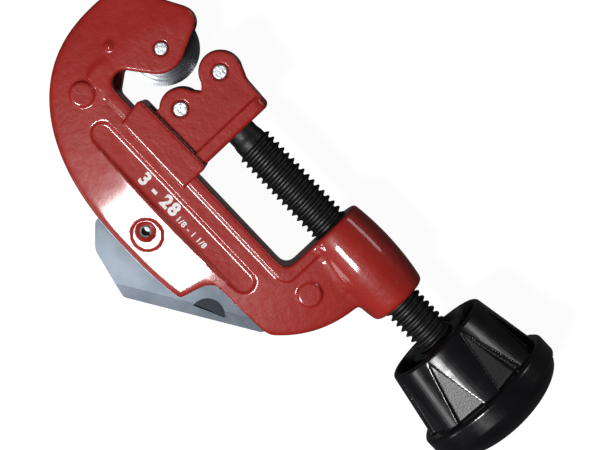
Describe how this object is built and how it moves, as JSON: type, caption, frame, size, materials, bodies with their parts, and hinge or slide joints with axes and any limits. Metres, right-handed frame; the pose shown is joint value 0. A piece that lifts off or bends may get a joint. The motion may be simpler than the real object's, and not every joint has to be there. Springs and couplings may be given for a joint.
{
  "type": "pipe cutter",
  "caption": "Screw-feed tube cutter: C-shaped die-cast frame with cutter wheel, roller slide on a rail, fluted knob on a feed screw and a reamer folded into the spine.",
  "frame": {"origin": "the cutting point: on the screw axis, at the edge of the cutter wheel that meets the tube", "axes": "+X along the feed screw from the cutter wheel to the knob, -Y towards the spine of the frame, +Z out of the front face with the thumb cut-out"},
  "size_m": [0.146, 0.0682, 0.0384],
  "materials": {
    "red_paint": "glossy red paint over a die casting, slight orange peel",
    "pin_steel": "bright zinc-plated steel",
    "dark_steel": "hardened tool steel, dark oil finish",
    "blade_steel": "zinc-plated sheet steel, satin",
    "black_oxide": "black oxide on a rolled thread, oily",
    "black_plastic": "semi-gloss moulded black plastic"
  },
  "bodies": {
    "frame": {"frame_casting": "red_paint", "wheel_axle_pin": "pin_steel", "reamer_pivot_pin": "dark_steel", "reamer_plain_washer": "pin_steel", "reamer_spring_washer": "pin_steel"},
    "slide": {"slide_casting": "red_paint", "roller_pin_upper": "pin_steel", "roller_pin_lower": "pin_steel"},
    "screw": {"feed_screw": "black_oxide", "screw_thrust_washer": "pin_steel", "screw_retaining_ring": "dark_steel", "knob": "black_plastic", "knob_end_cap": "black_plastic", "knob_end_washer": "pin_steel", "knob_end_screw": "pin_steel", "spare_cutter_wheel": "dark_steel"},
    "cutter_wheel": {"cutter_wheel": "dark_steel"},
    "roller_upper": {"roller_upper": "dark_steel"},
    "roller_lower": {"roller_lower": "dark_steel"},
    "reamer": {"reamer_blade": "blade_steel"}
  },
  "joints": [
    {"name": "slide_travel", "type": "slide", "parent": "frame", "child": "slide", "axis": [1, 0, 0], "range_m": [-0.0012, 0.029]},
    {"name": "screw_turn", "type": "hinge", "parent": "slide", "child": "screw", "pos_m": [0.05, 0, 0], "axis": [1, 0, 0], "range_deg": [-245, 5805]},
    {"name": "cutter_wheel_spin", "type": "hinge", "parent": "frame", "child": "cutter_wheel", "pos_m": [-0.0091, 0, 0], "axis": [0, 0, 1], "continuous": true},
    {"name": "roller_upper_spin", "type": "hinge", "parent": "slide", "child": "roller_upper", "pos_m": [0.0046, 0.0065, 0], "axis": [0, 0, 1], "continuous": true},
    {"name": "roller_lower_spin", "type": "hinge", "parent": "slide", "child": "roller_lower", "pos_m": [0.0046, -0.0065, 0], "axis": [0, 0, 1], "continuous": true},
    {"name": "reamer_fold", "type": "hinge", "parent": "frame", "child": "reamer", "pos_m": [0.0202, -0.0333, 0], "axis": [0, 0, 1], "range_deg": [-122, 0]}
  ],
  "couplings": [
    {"joint": "screw_turn", "follows": "slide_travel", "rad_per_m": 3490.7}
  ]
}
